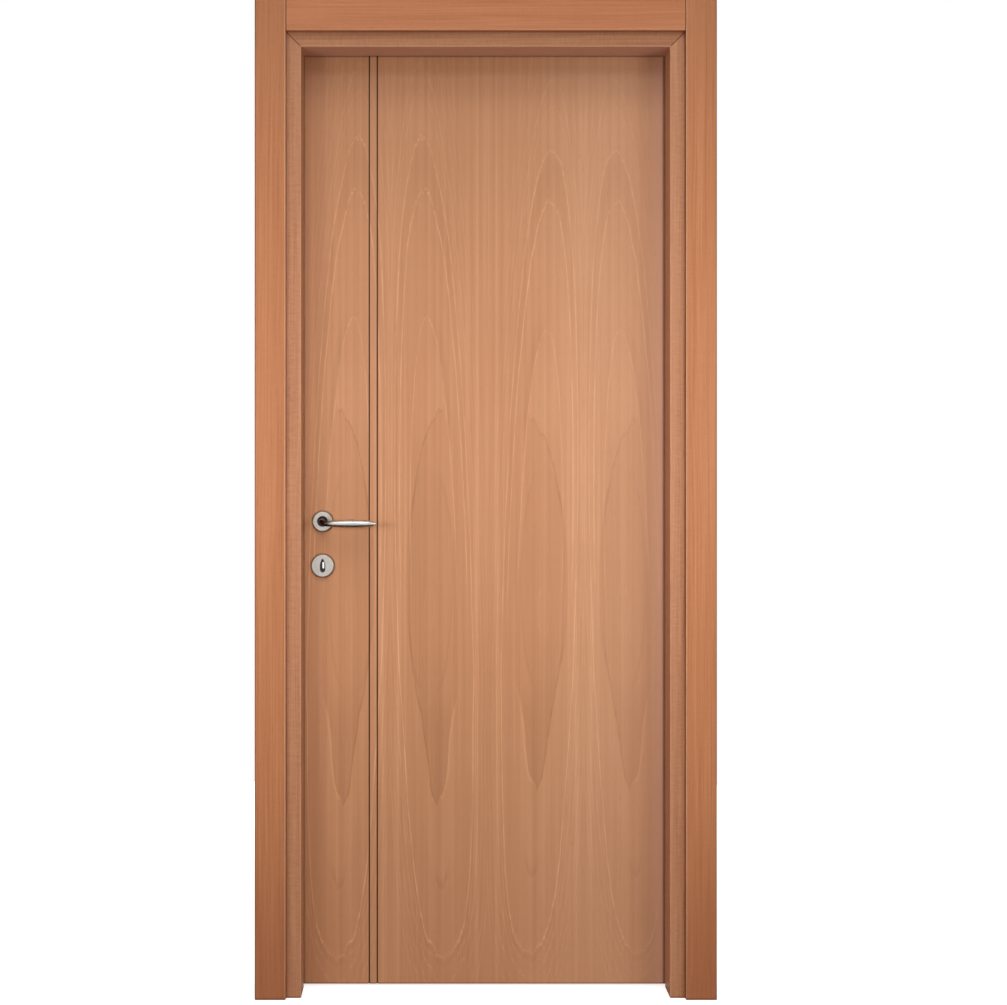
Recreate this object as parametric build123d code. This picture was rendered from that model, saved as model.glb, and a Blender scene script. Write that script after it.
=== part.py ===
from build123d import *
import os

# Flush door: a veneered leaf with a rebated edge, hung on three lift-off hinges in a mitred
# timber lining, with casings on both faces of the wall. Millimetres.
# X runs to the right, Y through the wall away from the side shown, Z up. The origin is on the
# floor, on the hinge jamb's wall-side face, midway through the wall.
# Lining and leaf sections are drawn as (out, depth): out is measured away from the doorway,
# from the edge of the clear passage, and depth is Y.

# Doorway and lining
passage_width = 815.0
passage_height = 2100.0
wall_depth = 100.0
jamb_thickness = 42.0
rebate_width = 14.0
jamb_arris = 2.0
stop_arris = 1.0
fixing_hole = 6.5
fixing_inset = 350.0
fixing_from_stop = 6.0

# Casings, each held by a tongue in a groove of the lining
casing_width = 68.0
casing_thickness = 12.0
casing_arris = 2.0
casing_end_arris = 1.2
tongue_thickness = 5.0
tongue_length = 18.0
groove_cheek = 4.0
groove_clearance = 0.1
groove_spare = 2.0

# Seal, pressed into the back of the stop
seal_centre = 4.5
seal_width = 6.0
seal_leaf_gap = 0.3
seal_stem_thickness = 3.0
seal_stem_length = 4.5
seal_groove_spare = 0.5

# Leaf: two skins over stiles, rails and a core
leaf_thickness = 44.0
skin_thickness = 4.0
lip_width = 12.0
lip_thickness = 12.0
lip_gap = 5.0
stop_gap = 5.0
edge_gap = 6.5
floor_gap = 5.0
leaf_arris = 1.0
hinge_stile_width = 40.0
stile_wall = 15.0
top_rail_height = 40.0
bottom_rail_height = 60.0
line_width = 3.0
line_depth = 2.5
line_inset = 155.2
line_pitch = 18.0

# Mortise lock and strike plate
handle_height = 1050.0
lock_spacing = 100.0
backset = 50.0
case_depth = 75.0
case_thickness = 14.0
case_margin = 32.5
case_clearance = 0.3
mortise_spare = 2.0
faceplate_width = 18.0
faceplate_thickness = 3.0
faceplate_overlap = 35.5
plate_clearance = 0.1
bolt_thickness = 10.0
bolt_clearance = 0.2
latch_height = 18.0
latch_length = 30.0
dead_bolt_height = 30.0
dead_bolt_length = 34.0
strike_thickness = 2.0
strike_margin = 30.0
strike_pocket = 14.0
follower_hole = 13.0
key_slot_width = 5.0
key_slot_height = 15.0

# Handle and key furniture
rosette_diameter = 47.0
rosette_face_diameter = 43.0
rosette_thickness = 9.0
rosette_edge = 0.8
rosette_recess_diameter = 23.0
rosette_recess_depth = 5.0
escutcheon_diameter = 52.0
escutcheon_face_diameter = 49.2
escutcheon_thickness = 8.0
escutcheon_edge = 0.8
keyhole_width = 11.0
keyhole_height = 29.0
keyhole_tip = 3.2
keyhole_shoulder = 3.0
keyhole_bevel = 0.8
tunnel_clearance = 1.5
handle_hole = 20.0
collar_diameter = 20.0
collar_clearance = 0.15
collar_seat = 2.0
boss_diameter = 18.0
boss_proud = 2.5
boss_edge = 1.2
neck_diameter = 13.0
elbow_radius = 16.0
lever_offset = 50.0
lever_reach = 123.0
grip_drop = 4.0
grip_root_diameter = 12.0
grip_diameter = 19.0
grip_belly = 66.0
grip_shoulder = 103.0
grip_shoulder_diameter = 15.5
grip_tip_diameter = 3.0
spindle_side = 8.0
spindle_grip = 9.0

# Lift-off hinges
hinge_inset = 220.0
barrel_diameter = 14.0
knuckle_length = 40.0
knuckle_gap = 0.3
barrel_round = 3.0
barrel_casing_gap = 1.0
barrel_lip_gap = 3.0
pin_diameter = 8.0
pin_length = 33.0
pin_clearance = 0.08
pin_end_gap = 3.0
frame_shank_diameter = 6.0
frame_shank_length = 46.0
leaf_shank_diameter = 4.5
leaf_shank_length = 34.0
shank_rise = 3.0
shank_clearance = 0.1

# Depths through the wall
lining_front = -wall_depth / 2
lining_back = wall_depth / 2
stop_back = lining_back - (leaf_thickness - lip_thickness + stop_gap - lip_gap)
leaf_front = stop_back + stop_gap
leaf_back = leaf_front + leaf_thickness
lip_front = leaf_back - lip_thickness
core_front = leaf_front + skin_thickness
core_back = leaf_back - skin_thickness
leaf_middle = (leaf_front + leaf_back) / 2
lock_depth = (leaf_front + lip_front) / 2

# Distances out from the edge of the passage
body_out = rebate_width - edge_gap
lip_out = body_out + lip_width
casing_in = jamb_thickness - groove_cheek - tongue_thickness
casing_out = casing_in + casing_width
barrel_radius = barrel_diameter / 2
hinge_out = lip_out + barrel_radius + barrel_lip_gap
hinge_depth = lining_back + casing_thickness + barrel_radius + barrel_casing_gap

# Places across and up the doorway
hinge_edge = -jamb_thickness
lock_edge = hinge_edge - passage_width
passage_middle = (hinge_edge + lock_edge) / 2
leaf_lock_x = lock_edge - body_out
leaf_hinge_x = hinge_edge + body_out
lock_stile_width = faceplate_thickness + case_depth + mortise_spare + stile_wall
core_lock_x = leaf_lock_x + lock_stile_width
core_hinge_x = leaf_hinge_x - hinge_stile_width
leaf_top = passage_height + body_out
core_bottom = floor_gap + bottom_rail_height
core_top = leaf_top - top_rail_height
spindle_x = leaf_lock_x + backset
key_height = handle_height - lock_spacing
lock_middle = (handle_height + key_height) / 2
case_height = lock_spacing + 2 * case_margin
faceplate_height = case_height + 2 * faceplate_overlap
strike_height = lock_spacing + 2 * strike_margin
hinge_heights = {
    "bottom": floor_gap + hinge_inset,
    "middle": (floor_gap + leaf_top) / 2,
    "top": leaf_top - hinge_inset,
}

# Working planes: out along local x and depth along local y, at the foot of the hinge side and
# at the hinge end of the head
hinge_side = Plane((hinge_edge, 0, 0), x_dir=(1, 0, 0), z_dir=(0, 0, 1))
head_side = Plane((hinge_edge, 0, passage_height), x_dir=(0, 0, 1), z_dir=(-1, 0, 0))
hinge_mitre = Plane((hinge_edge, 0, passage_height), z_dir=(-1, 0, 1))
lock_mitre = Plane((lock_edge, 0, passage_height), z_dir=(1, 0, 1))
across_doorway = Plane((passage_middle, 0, 0), z_dir=(1, 0, 0))
through_wall = Plane((0, 0, 0), z_dir=(0, 1, 0))
through_leaf = Plane((0, leaf_middle, 0), z_dir=(0, 1, 0))

os.makedirs("parts", exist_ok=True)
parts = {}


def slab(low, high):
    """A board between two opposite corners."""
    size = Vector(*high) - Vector(*low)
    return Pos(*low) * Box(size.X, size.Y, size.Z, align=Align.MIN)


def strip(out_low, depth_low, out_high, depth_high):
    """A rectangle of a section."""
    corners = [
        (out_low, depth_low),
        (out_high, depth_low),
        (out_high, depth_high),
        (out_low, depth_high),
    ]
    return Polygon(*corners, align=None)


def round_corners(section, corners, radius):
    """The section with the corners nearest to these points rounded."""
    chosen = [section.vertices().sort_by_distance((*c, 0))[0] for c in corners]
    return Sketch() + section.face().fillet_2d(radius, chosen)


def upright(section, bottom, top):
    """A section stood up beside the doorway on the hinge side."""
    return extrude(hinge_side.offset(bottom) * section, top - bottom)


def across(section, beyond):
    """A section laid over the doorway, reaching beyond the passage at both ends."""
    return extrude(head_side.offset(-beyond) * section, passage_width + 2 * beyond)


def to_lock_side(piece):
    """The same piece on the other side of the doorway."""
    return mirror(piece, about=across_doorway)


def rod(start, direction, length, diameter):
    """A round bar from a point along a direction."""
    return extrude(Plane(start, z_dir=direction) * Circle(diameter / 2), length)


# Lining: two jambs and a head of one section, mitred at the corners
def lining_section():
    section = strip(0, lining_front, jamb_thickness, lining_back)
    section -= strip(0, stop_back, rebate_width, lining_back)
    section = round_corners(section, [(0, lining_front), (rebate_width, lining_back)], jamb_arris)
    section = round_corners(section, [(0, stop_back)], stop_arris)
    groove_in = casing_in - groove_clearance
    groove_out = casing_in + tongue_thickness + groove_clearance
    groove_depth = tongue_length + groove_spare
    section -= strip(groove_in, lining_front, groove_out, lining_front + groove_depth)
    section -= strip(groove_in, lining_back - groove_depth, groove_out, lining_back)
    seal_half = seal_stem_thickness / 2 + groove_clearance
    seal_bottom = stop_back - seal_stem_length - seal_groove_spare
    section -= strip(seal_centre - seal_half, seal_bottom, seal_centre + seal_half, stop_back)
    return section


def mitred_set(section, reach):
    """Hinge upright, lock upright and head of one section, mitred together."""
    upright_blank = upright(section, 0, passage_height + reach)
    hinge_upright = split(upright_blank, bisect_by=hinge_mitre, keep=Keep.BOTTOM)
    head = split(across(section, reach), bisect_by=hinge_mitre, keep=Keep.TOP)
    head = split(head, bisect_by=lock_mitre, keep=Keep.TOP)
    return hinge_upright, to_lock_side(hinge_upright), head


hinge_jamb, lock_jamb, head_jamb = mitred_set(lining_section(), jamb_thickness)

for fixing_z in (fixing_inset, passage_height - fixing_inset):
    fixing_start = (hinge_edge, stop_back + fixing_from_stop, fixing_z)
    hole = rod(fixing_start, (1, 0, 0), jamb_thickness, fixing_hole)
    hinge_jamb -= hole
    lock_jamb -= to_lock_side(hole)

parts["head_jamb"] = head_jamb

# Casings: uprights to the full height, head between them, the same on both faces of the wall
tongue_end = lining_front + tongue_length
casing_board = strip(casing_in, lining_front - casing_thickness, casing_out, lining_front)
casing_board = round_corners(
    casing_board,
    [
        (casing_in, lining_front - casing_thickness),
        (casing_out, lining_front - casing_thickness),
    ],
    casing_arris,
)
tongue = strip(casing_in, lining_front, casing_in + tongue_thickness, tongue_end)
casing_top = passage_height + casing_out
tongue_top = passage_height + casing_in + tongue_thickness


def ease_end(board, end_face):
    """The board with the front edge of one end rounded."""
    board_middle = lining_front - casing_thickness / 2
    front_edge = end_face.edges().filter_by(lambda e: e.center().Y < board_middle)
    return board.fillet(casing_end_arris, front_edge)


casing_right = upright(casing_board, 0, casing_top) + upright(tongue, 0, tongue_top)
casing_right = ease_end(casing_right, casing_right.faces().sort_by(Axis.Z)[-1])
casing_head = across(casing_board + tongue, casing_in)
for end in (0, -1):
    casing_head = ease_end(casing_head, casing_head.faces().sort_by(Axis.X)[end])
casings = {
    "right": casing_right,
    "left": to_lock_side(casing_right),
    "head": casing_head,
}
for place, casing in casings.items():
    parts[f"casing_front_{place}"] = casing
    parts[f"casing_back_{place}"] = mirror(casing, about=through_wall)

# Seal: a stem in the stop and a soft bulb the leaf closes against
bulb_top = leaf_front - seal_leaf_gap
bulb_low = seal_centre - seal_width / 2
bulb_high = seal_centre + seal_width / 2
bulb = strip(bulb_low, stop_back, bulb_high, bulb_top)
bulb_round = 0.45 * min(seal_width, bulb_top - stop_back)
bulb = round_corners(bulb, [(bulb_low, bulb_top), (bulb_high, bulb_top)], bulb_round)
stem = strip(
    seal_centre - seal_stem_thickness / 2,
    stop_back - seal_stem_length,
    seal_centre + seal_stem_thickness / 2,
    stop_back,
)
seal_set = mitred_set(bulb + stem, jamb_thickness)
for place, seal in zip(("hinge", "lock", "head"), seal_set):
    parts[f"seal_{place}"] = seal

# Leaf skins, with two lines routed down each face
def routed_lines(face_depth):
    """Cutters for the two vertical lines, centred on a face of the leaf."""
    cutters = []
    for line in range(2):
        line_x = leaf_lock_x + line_inset + line * line_pitch
        low = (line_x - line_width / 2, face_depth - line_depth, 0)
        high = (line_x + line_width / 2, face_depth + line_depth, leaf_top + lip_width)
        cutters.append(slab(low, high))
    return cutters


def keyhole(width, height, tip, shoulder):
    """Round below, with straight sides that taper to a narrow top."""
    low_arc = Pos(0, width / 2 - height / 2) * Circle(width / 2)
    high_arc = Pos(0, shoulder) * Circle(width / 2)
    tip_arc = Pos(0, height / 2 - tip / 2) * Circle(tip / 2)
    return make_hull(low_arc.edges() + high_arc.edges() + tip_arc.edges())


# Planes of the furniture: local x along the lever, local y up
handle_front = Plane((spindle_x, leaf_front, handle_height), x_dir=(1, 0, 0), z_dir=(0, -1, 0))
key_front = Plane((spindle_x, leaf_front, key_height), x_dir=(1, 0, 0), z_dir=(0, -1, 0))

keyhole_outline = keyhole(keyhole_width, keyhole_height, keyhole_tip, keyhole_shoulder)
tunnel_outline = SlotOverall(
    keyhole_height + 2 * tunnel_clearance, keyhole_width + 2 * tunnel_clearance, rotation=90
)
through_leaf_cuts = [
    extrude(handle_front * Circle(handle_hole / 2), -leaf_thickness),
    extrude(key_front * tunnel_outline, -leaf_thickness),
]

front_skin = slab(
    (leaf_lock_x, leaf_front, floor_gap), (leaf_hinge_x, core_front, leaf_top)
)
front_arrises = front_skin.edges().group_by(Axis.Y)[0]
front_skin = fillet(front_arrises, leaf_arris)
back_skin = slab(
    (lock_edge - lip_out, core_back, floor_gap),
    (hinge_edge + lip_out, leaf_back, passage_height + lip_out),
)
back_arrises = back_skin.edges().group_by(Axis.Y)[-1]
back_skin = fillet(back_arrises, leaf_arris)
front_skin -= routed_lines(leaf_front) + through_leaf_cuts
back_skin -= routed_lines(leaf_back) + through_leaf_cuts

# Stiles, rails and core between the skins; stiles and top rail carry the lip
def stile(width):
    """A stile on the hinge side, with the lip along its edge and over its top."""
    body = strip(body_out - width, core_front, body_out, core_back)
    lip = strip(body_out, lip_front, lip_out, core_back)
    lip_over = strip(body_out - width, lip_front, lip_out, core_back)
    return upright(body + lip, floor_gap, leaf_top) + upright(
        lip_over, leaf_top, passage_height + lip_out
    )


hinge_stile = stile(hinge_stile_width)
lock_stile = to_lock_side(stile(lock_stile_width))

rail_section = strip(body_out - top_rail_height, core_front, body_out, core_back)
rail_section += strip(body_out, lip_front, lip_out, core_back)
rail_plane = head_side.offset(hinge_edge - core_hinge_x)
parts["top_rail"] = extrude(rail_plane * rail_section, core_hinge_x - core_lock_x)
parts["bottom_rail"] = slab(
    (core_lock_x, core_front, floor_gap), (core_hinge_x, core_back, core_bottom)
)
parts["core_panel"] = slab(
    (core_lock_x, core_front, core_bottom), (core_hinge_x, core_back, core_top)
)

# Mortise lock in the lock stile, drawn back flush with the leaf's edge
lock_face = Plane((leaf_lock_x, lock_depth, lock_middle), x_dir=(0, 0, 1), z_dir=(1, 0, 0))


def lock_plate(height, clearance, thickness):
    """A round-ended plate let into the leaf's edge."""
    outline = SlotOverall(height + 2 * clearance, faceplate_width + 2 * clearance)
    return extrude(lock_face * outline, thickness)


def lock_block(height, thickness, z_middle, near, far, clearance=0.0):
    """A block of the lock, between two distances in from the leaf's edge."""
    low = (
        leaf_lock_x + near,
        lock_depth - thickness / 2 - clearance,
        z_middle - height / 2 - clearance,
    )
    high = (
        leaf_lock_x + far + clearance,
        lock_depth + thickness / 2 + clearance,
        z_middle + height / 2 + clearance,
    )
    return slab(low, high)


bolts = {
    "latch_bolt": (latch_height, handle_height, latch_length),
    "dead_bolt": (dead_bolt_height, key_height, dead_bolt_length),
}
case_back = faceplate_thickness + case_depth
lock_case = lock_block(case_height, case_thickness, lock_middle, faceplate_thickness, case_back)
faceplate = lock_plate(faceplate_height, 0, faceplate_thickness)
for bolt_name, (bolt_height, bolt_z, bolt_length) in bolts.items():
    parts[bolt_name] = lock_block(bolt_height, bolt_thickness, bolt_z, 0, bolt_length)
    pocket = lock_block(bolt_height, bolt_thickness, bolt_z, 0, bolt_length, bolt_clearance)
    lock_case -= pocket
    faceplate -= pocket
lock_case -= extrude(handle_front * Circle(follower_hole / 2), -leaf_thickness)
key_slot = SlotOverall(key_slot_height, key_slot_width, rotation=90)
lock_case -= extrude(key_front * key_slot, -leaf_thickness)
parts["lock_case"] = lock_case
parts["lock_faceplate"] = faceplate

mortise_back = case_back + mortise_spare
lock_stile -= lock_block(case_height, case_thickness, lock_middle, 0, mortise_back, case_clearance)
lock_stile -= lock_plate(faceplate_height, plate_clearance, faceplate_thickness)
lock_stile -= through_leaf_cuts
parts["lock_stile"] = lock_stile

# Strike plate in the lock jamb, with a pocket behind each of its windows
strike_face = Plane(
    (lock_edge - rebate_width, lock_depth, lock_middle), x_dir=(0, 0, 1), z_dir=(-1, 0, 0)
)


def strike_plate_blank(clearance):
    outline = SlotOverall(strike_height + 2 * clearance, faceplate_width + 2 * clearance)
    return extrude(strike_face * outline, strike_thickness)


def strike_window(bolt_height, bolt_z, depth):
    outline = Pos(bolt_z - lock_middle, 0) * Rectangle(
        bolt_height + 2 * bolt_clearance, bolt_thickness + 2 * bolt_clearance
    )
    return extrude(strike_face * outline, depth)


strike_plate = strike_plate_blank(0)
lock_jamb -= strike_plate_blank(plate_clearance)
for bolt_height, bolt_z, _ in bolts.values():
    strike_plate -= strike_window(bolt_height, bolt_z, strike_thickness)
    lock_jamb -= strike_window(bolt_height, bolt_z, strike_pocket)
parts["strike_plate"] = strike_plate
parts["lock_jamb"] = lock_jamb

# Furniture profiles: local x out from the turning axis, local y off the leaf's face
profile_handle = Plane((spindle_x, leaf_front, handle_height), x_dir=(1, 0, 0), z_dir=(0, 0, -1))
profile_key = Plane((spindle_x, leaf_front, key_height), x_dir=(1, 0, 0), z_dir=(0, 0, -1))
profile_grip = Plane(profile_handle.origin - Vector(0, 0, grip_drop), x_dir=(1, 0, 0), z_dir=(0, 0, -1))
handle_axis = Axis(profile_handle.origin, (0, -1, 0))
key_axis = Axis(profile_key.origin, (0, -1, 0))

# Rosette: a truncated cone with a bearing hole for the collar and a wider recess in its face
recess_floor = rosette_thickness - rosette_recess_depth
rosette_hole = collar_diameter / 2 + collar_clearance
rosette_rim = (rosette_face_diameter / 2, rosette_thickness)
recess_rim = (rosette_recess_diameter / 2, rosette_thickness)
rosette_profile = Polygon(
    (rosette_hole, 0),
    (rosette_diameter / 2, 0),
    rosette_rim,
    recess_rim,
    (rosette_recess_diameter / 2, recess_floor),
    (rosette_hole, recess_floor),
    align=None,
)
rosette_profile = round_corners(rosette_profile, [rosette_rim, recess_rim], rosette_edge)
handle_rosette = revolve(profile_handle * rosette_profile, handle_axis)

# Key escutcheon: a truncated cone with a bevelled keyhole
escutcheon_rim = (escutcheon_face_diameter / 2, escutcheon_thickness)
escutcheon_profile = Polygon(
    (0, 0),
    (escutcheon_diameter / 2, 0),
    escutcheon_rim,
    (0, escutcheon_thickness),
    align=None,
)
escutcheon_profile = round_corners(escutcheon_profile, [escutcheon_rim], escutcheon_edge)
key_escutcheon = revolve(profile_key * escutcheon_profile, key_axis)
key_escutcheon -= extrude(key_front * keyhole_outline, escutcheon_thickness)
keyhole_rim = key_escutcheon.faces().sort_by(Axis.Y)[0].inner_wires()[0].edges()
key_escutcheon = chamfer(keyhole_rim, keyhole_bevel)

# Lever: turned collar, boss and neck, a swept elbow that thins and drops, a turned torpedo grip
def lever():
    neck_end = lever_offset - elbow_radius
    elbow_pull = 0.55 * elbow_radius
    boss_end = rosette_thickness + boss_proud
    boss_rim = (boss_diameter / 2, boss_end)
    collar = Polygon(
        (0, collar_seat),
        (collar_diameter / 2, collar_seat),
        (collar_diameter / 2, recess_floor),
        (boss_diameter / 2, recess_floor),
        boss_rim,
        (0, boss_end),
        align=None,
    )
    collar = round_corners(collar, [boss_rim], boss_edge)
    neck = strip(0, boss_end, neck_diameter / 2, neck_end)
    hub = revolve(profile_handle * (collar + neck), handle_axis)
    bend = handle_front * Bezier(
        (0, 0, neck_end),
        (0, 0, neck_end + elbow_pull),
        (elbow_radius - elbow_pull, -grip_drop, lever_offset),
        (elbow_radius, -grip_drop, lever_offset),
    )
    bend_ends = [
        Plane(bend @ 0, z_dir=bend % 0) * Circle(neck_diameter / 2),
        Plane(bend @ 1, z_dir=bend % 1) * Circle(grip_root_diameter / 2),
    ]
    elbow = sweep(bend_ends, path=bend, multisection=True)
    shoulder = (grip_shoulder, lever_offset + grip_shoulder_diameter / 2)
    belly = (grip_belly, lever_offset + grip_diameter / 2)
    root = (elbow_radius, lever_offset + grip_root_diameter / 2)
    tip = (lever_reach, lever_offset + grip_tip_diameter / 2)
    flank = Spline(root, belly, shoulder)
    nose = TangentArc(shoulder, tip, tangent=flank % 1)
    back = Polyline(tip, (lever_reach, lever_offset), (elbow_radius, lever_offset), root)
    grip_axis = Axis(profile_grip.origin + Vector(0, -lever_offset, 0), (1, 0, 0))
    grip = revolve(profile_grip * make_face(flank + nose + back), grip_axis)
    socket = Rectangle(spindle_side, spindle_side)
    socket_depth = collar_seat + spindle_grip
    return hub + elbow + grip - extrude(handle_front * socket, socket_depth)


lever_front = lever()
spindle_reach = collar_seat + spindle_grip
parts["spindle"] = extrude(
    handle_front.offset(spindle_reach) * Rectangle(spindle_side, spindle_side),
    -(leaf_thickness + 2 * spindle_reach),
)
furniture = {"handle_rosette": handle_rosette, "key_escutcheon": key_escutcheon, "lever": lever_front}
for name, piece in furniture.items():
    parts[f"{name}_front"] = piece
    parts[f"{name}_back"] = mirror(piece, about=through_leaf)

# Lift-off hinges: frame half below with the pin, leaf half above on it
hinge_x = hinge_edge + hinge_out
frame_shank_aim = Vector(
    (lip_out + casing_in) / 2 - hinge_out, lining_back - hinge_depth, 0
)
leaf_shank_aim = Vector(body_out - hinge_out, lip_front + shank_rise - hinge_depth, 0)


def knuckle(bottom, rounded_end):
    """One half of the barrel, rounded at its lower (0) or upper (-1) end."""
    blank = rod((hinge_x, hinge_depth, bottom), (0, 0, 1), knuckle_length, barrel_diameter)
    return fillet(blank.edges().group_by(Axis.Z)[rounded_end], barrel_round)


for place, parting in hinge_heights.items():
    upper = parting + knuckle_gap
    pin = rod((hinge_x, hinge_depth, parting), (0, 0, 1), pin_length, pin_diameter)
    pin_hole = rod(
        (hinge_x, hinge_depth, upper),
        (0, 0, 1),
        pin_length - knuckle_gap + pin_end_gap,
        pin_diameter + 2 * pin_clearance,
    )
    frame_start = (hinge_x, hinge_depth, parting - knuckle_length / 2)
    leaf_start = (hinge_x, hinge_depth, upper + knuckle_length / 2)
    frame_shank = rod(frame_start, frame_shank_aim, frame_shank_length, frame_shank_diameter)
    leaf_shank = rod(leaf_start, leaf_shank_aim, leaf_shank_length, leaf_shank_diameter)
    frame_bore = rod(
        frame_start,
        frame_shank_aim,
        frame_shank_length + shank_clearance,
        frame_shank_diameter + 2 * shank_clearance,
    )
    leaf_bore = rod(
        leaf_start,
        leaf_shank_aim,
        leaf_shank_length + shank_clearance,
        leaf_shank_diameter + 2 * shank_clearance,
    )
    hinge_jamb -= frame_bore
    hinge_stile -= leaf_bore
    back_skin -= leaf_bore
    lower_knuckle = knuckle(parting - knuckle_length, 0)
    parts[f"hinge_{place}_frame_half"] = lower_knuckle + pin + frame_shank
    parts[f"hinge_{place}_leaf_half"] = knuckle(upper, -1) + leaf_shank - pin_hole

parts["hinge_jamb"] = hinge_jamb
parts["hinge_stile"] = hinge_stile
parts["front_skin"] = front_skin
parts["back_skin"] = back_skin

for name, piece in parts.items():
    export_step(piece, f"parts/{name}.step")
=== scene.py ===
import math

import bmesh
import bpy
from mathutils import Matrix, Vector


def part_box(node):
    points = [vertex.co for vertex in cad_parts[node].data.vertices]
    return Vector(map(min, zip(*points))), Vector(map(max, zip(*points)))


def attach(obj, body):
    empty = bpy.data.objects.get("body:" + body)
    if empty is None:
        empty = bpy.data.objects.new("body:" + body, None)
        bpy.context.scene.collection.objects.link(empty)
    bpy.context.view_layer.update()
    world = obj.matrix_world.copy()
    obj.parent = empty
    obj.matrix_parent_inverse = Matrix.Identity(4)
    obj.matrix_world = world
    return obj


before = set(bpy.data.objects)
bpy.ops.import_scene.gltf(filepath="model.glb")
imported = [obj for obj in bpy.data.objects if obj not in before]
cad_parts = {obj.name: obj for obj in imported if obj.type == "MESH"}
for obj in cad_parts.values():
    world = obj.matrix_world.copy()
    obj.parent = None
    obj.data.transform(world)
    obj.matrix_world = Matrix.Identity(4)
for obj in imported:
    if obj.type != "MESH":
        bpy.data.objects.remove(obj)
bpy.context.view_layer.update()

# Flush door in a mitred lining: veneered leaf with two routed lines, satin nickel furniture.
# Metres, in the frame of the solids: X to the right, Y through the wall, Z up.

# Sizes that the finishes follow, read from the solids
leaf_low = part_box("front_skin")[0]
leaf_front = leaf_low.y
leaf_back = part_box("back_skin")[1].y
casing_face = -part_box("casing_front_left")[0].y
lining_low, lining_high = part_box("head_jamb")
lining_face = lining_high.y
jamb_thickness = lining_high.z - lining_low.z
passage_middle = (lining_low.x + lining_high.x) / 2
passage_half = (lining_high.x - lining_low.x) / 2 - jamb_thickness
passage_top = lining_low.z
plate_low, plate_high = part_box("lock_faceplate")
strike_low, strike_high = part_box("strike_plate")
spindle_low, spindle_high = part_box("spindle")
spindle_x = (spindle_low.x + spindle_high.x) / 2
spindle_z = (spindle_low.z + spindle_high.z) / 2
rosette_low, rosette_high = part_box("handle_rosette_front")
escutcheon_low, escutcheon_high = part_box("key_escutcheon_front")
furniture_x = (rosette_low.x + rosette_high.x) / 2
handle_height = (rosette_low.z + rosette_high.z) / 2
key_height = (escutcheon_low.z + escutcheon_high.z) / 2
rosette_radius = (rosette_high.x - rosette_low.x) / 2
escutcheon_radius = (escutcheon_high.x - escutcheon_low.x) / 2

# Smaller sizes that the finishes follow; the casing's edges are measured out from the passage
casing_inner = 0.033
casing_outer = 0.101
casing_arris = 0.002
lining_arris = 0.002
arris_ease = 0.0001
rosette_well = 0.0115
keyhole_half = (0.0026, 0.0076)
line_places = (leaf_low.x + 0.1552, leaf_low.x + 0.1732)
line_half = 0.0019
line_ease = 0.0002
lever_neck_radius = 0.0065

# Screw heads: outline as (share of the radius, height above the plate), recesses, sizes and places
head_segments = 48
head_profile = ((1.00, -0.0016), (1.00, 0.0000), (0.93, 0.00025), (0.78, 0.00036))
recess_depth = 0.0011
recess_taper = 0.8
crisp_edge = math.radians(35)
cross_arm = 0.0021
cross_half_width = 0.00055
socket_across_flats = 0.0025
plate_screw_radius = 0.0036
plate_screw_inset = 0.012
strike_screw_radius = 0.0032
strike_screw_inset = 0.0085
grub_screw_radius = 0.0023
grub_off_leaf = 0.020
grub_sunk = 0.0004

# Veneer of the leaf: mirror-matched strips, each with one crown figure
strip_width = 0.2183
first_joint = -0.6622
middle_joint = -0.4450
joint_half = 0.0004
figure_height = 2.2
heart_top = 1.9146
heart_at_top = 0.0713
heart_lean = 0.0276
ring_range = 0.13
pair_step = 0.0022
oval_middle = 0.93
oval_shrink = 0.07
heart_at_eye = 0.0890
upper_slope = 0.079
lower_slope = 0.145

# Half-length of the rings that close at each height, as (height, half-width of that ring)
ring_spread = (
    (0.000, 0.0960), (0.065, 0.0850), (0.118, 0.0752), (0.209, 0.0620), (0.333, 0.0510),
    (0.410, 0.0450), (0.616, 0.0280), (0.842, 0.0010), (0.989, 0.0100), (1.320, 0.0370),
    (1.510, 0.0520), (1.634, 0.0610), (1.795, 0.0750), (1.915, 0.0850), (2.120, 0.0990),
)
# Edges of the dark oval and the flame below it, as (height, distance from the joint)
oval_near_edge = (
    (0.395, 0.1100), (0.410, 0.1029), (0.435, 0.0928), (0.480, 0.0860), (0.537, 0.0792),
    (0.593, 0.0713), (0.639, 0.0634), (0.763, 0.0453), (0.876, 0.0419), (0.989, 0.0430),
    (1.068, 0.0475), (1.148, 0.0566), (1.193, 0.0656), (1.233, 0.0758), (1.266, 0.0882),
    (1.295, 0.1075), (1.320, 0.1301), (1.340, 0.1500),
)
oval_far_edge = (
    (0.395, 0.0950), (0.410, 0.1029), (0.429, 0.1154), (0.458, 0.1244), (0.503, 0.1301),
    (0.559, 0.1335), (0.616, 0.1414), (0.673, 0.1561), (0.740, 0.1652), (0.989, 0.1686),
    (1.125, 0.1652), (1.193, 0.1584), (1.249, 0.1493), (1.295, 0.1391), (1.320, 0.1301),
    (1.340, 0.1150),
)
# Tone between the growth lines, as (ring half-width, tone), above and below the oval
upper_fill = (
    (0.0000, 0.455), (0.0440, 0.46), (0.0515, 0.475), (0.0530, 0.475), (0.0720, 0.49),
    (0.0755, 0.45), (0.0840, 0.44), (0.0865, 0.49), (0.1000, 0.50), (0.1300, 0.52),
)
lower_fill = (
    (0.0000, 0.48), (0.0420, 0.48), (0.0520, 0.52), (0.0600, 0.52), (0.0618, 0.49),
    (0.0820, 0.50), (0.0845, 0.54), (0.0870, 0.43), (0.0900, 0.49), (0.1300, 0.52),
)
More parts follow.
